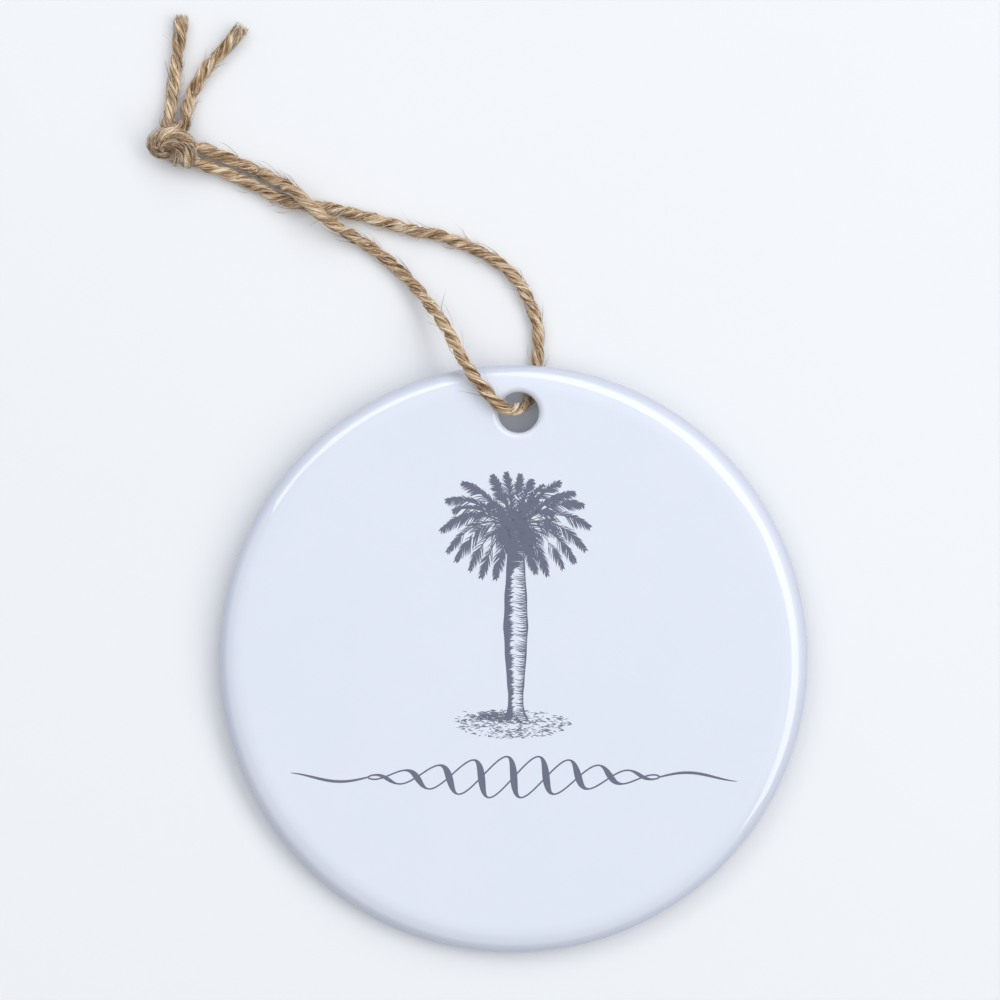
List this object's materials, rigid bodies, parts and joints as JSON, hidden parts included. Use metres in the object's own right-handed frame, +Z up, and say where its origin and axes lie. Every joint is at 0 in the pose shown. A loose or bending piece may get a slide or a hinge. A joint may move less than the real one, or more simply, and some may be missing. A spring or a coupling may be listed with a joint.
{
  "type": "hanging ornament",
  "caption": "Flat round glazed ceramic ornament with a softly rounded edge and a printed palm tree, hung by a knotted loop of jute twine through a hole near its rim.",
  "frame": {"origin": "on the surface that the ornament lies on, under the middle of the disc", "axes": "+Z up, out of the printed face as it lies (the disc leans 1.6 degrees on the twine under its hole); +Y from the middle of the disc to the hole; +X to the right of the print"},
  "size_m": [0.081, 0.1163, 0.007],
  "materials": {
    "glaze": "gloss",
    "twine": "matte"
  },
  "bodies": {
    "disc": {"ceramic_disc": "glaze"},
    "hanger": {"twine_bight": "twine", "twine_front_leg": "twine", "twine_back_leg": "twine", "twine_knot": "twine", "twine_tail_left": "twine", "twine_tail_right": "twine"}
  },
  "joints": [
    {"name": "hanger_swivel", "type": "hinge", "parent": "disc", "child": "hanger", "pos_m": [0.0006, 0.03054, 0.00345], "axis": [0, 0, 1], "range_deg": [-90, 20]}
  ]
}
